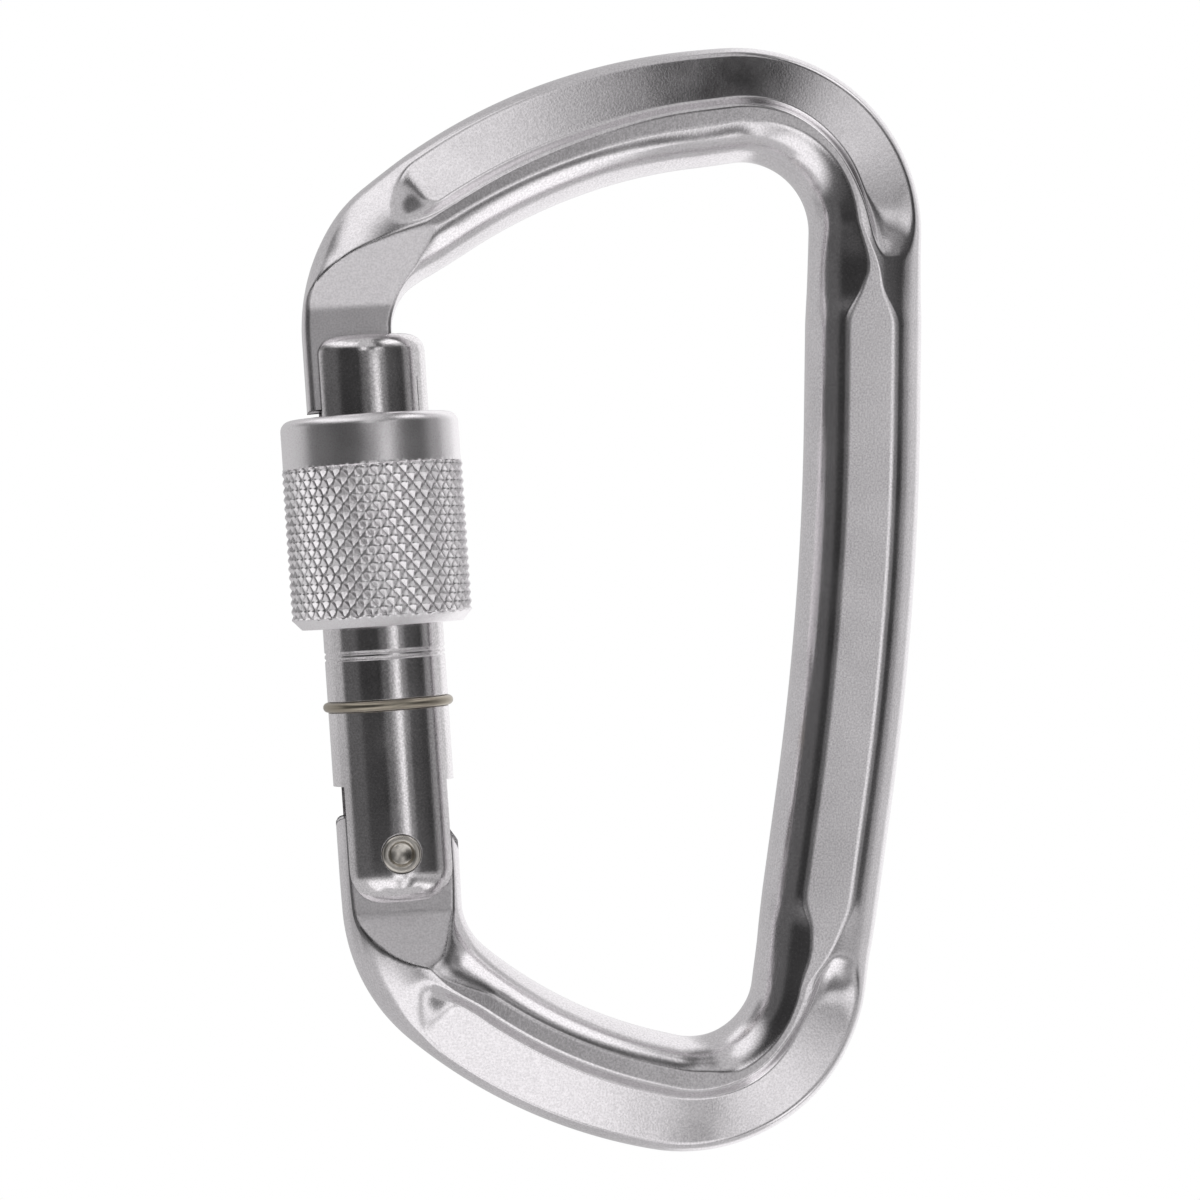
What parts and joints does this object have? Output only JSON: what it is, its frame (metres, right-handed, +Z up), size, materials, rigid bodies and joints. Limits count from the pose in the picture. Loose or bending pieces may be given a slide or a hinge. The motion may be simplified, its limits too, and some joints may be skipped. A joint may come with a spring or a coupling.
{
  "type": "locking carabiner",
  "caption": "D-shaped screw-gate locking carabiner: forged bar with scooped arms and flat spine panels, sprung hinged gate, knurled sleeve and key-lock nose.",
  "frame": {"origin": "the point of the top basket's inner face, in the middle plane, where the carabiner hangs on its anchor", "axes": "+Z up along the spine, +X from the gate to the spine, Y through the thickness; the part is symmetric about Y = 0"},
  "size_m": [0.0662, 0.0184, 0.1133],
  "materials": {
    "body_satin": "blasted and anodised natural aluminium, satin",
    "gate_turned": "turned and anodised natural aluminium, bright satin",
    "sleeve_knurled": "turned and diamond-knurled natural aluminium",
    "rivet_steel": "semi-tubular stainless rivet, rolled over",
    "ring_steel": "drawn stainless wire",
    "spring_steel": "drawn stainless spring wire"
  },
  "bodies": {
    "frame": {"body": "body_satin"},
    "gate": {"gate": "gate_turned", "hinge_rivet": "rivet_steel", "gate_spring": "spring_steel"},
    "plunger": {"spring_plunger": "rivet_steel"},
    "ring": {"retaining_ring": "ring_steel"},
    "sleeve": {"locking_sleeve": "sleeve_knurled"}
  },
  "joints": [
    {"name": "gate_hinge", "type": "hinge", "parent": "frame", "child": "gate", "pos_m": [-0.0347, 0, -0.07053], "axis": [0, 1, 0], "range_deg": [0, 40], "stiffness_Nm_per_rad": 0.25, "springref_deg": -45.84},
    {"name": "plunger_slide", "type": "slide", "parent": "gate", "child": "plunger", "axis": [-0.068, 0, 0.9977], "range_m": [0, 0.0013], "deforming": ["gate_spring"]},
    {"name": "ring_spin", "type": "hinge", "parent": "gate", "child": "ring", "pos_m": [-0.0347, 0, -0.07053], "axis": [-0.068, 0, 0.9977], "range_deg": [-1052, 980]},
    {"name": "sleeve_travel", "type": "slide", "parent": "ring", "child": "sleeve", "axis": [-0.068, 0, 0.9977], "range_m": [-0.0073, 0.0068]}
  ],
  "couplings": [
    {"joint": "plunger_slide", "follows": "gate_hinge", "m_per_rad": 0.0018},
    {"joint": "ring_spin", "follows": "sleeve_travel", "rad_per_m": 2513.3}
  ]
}
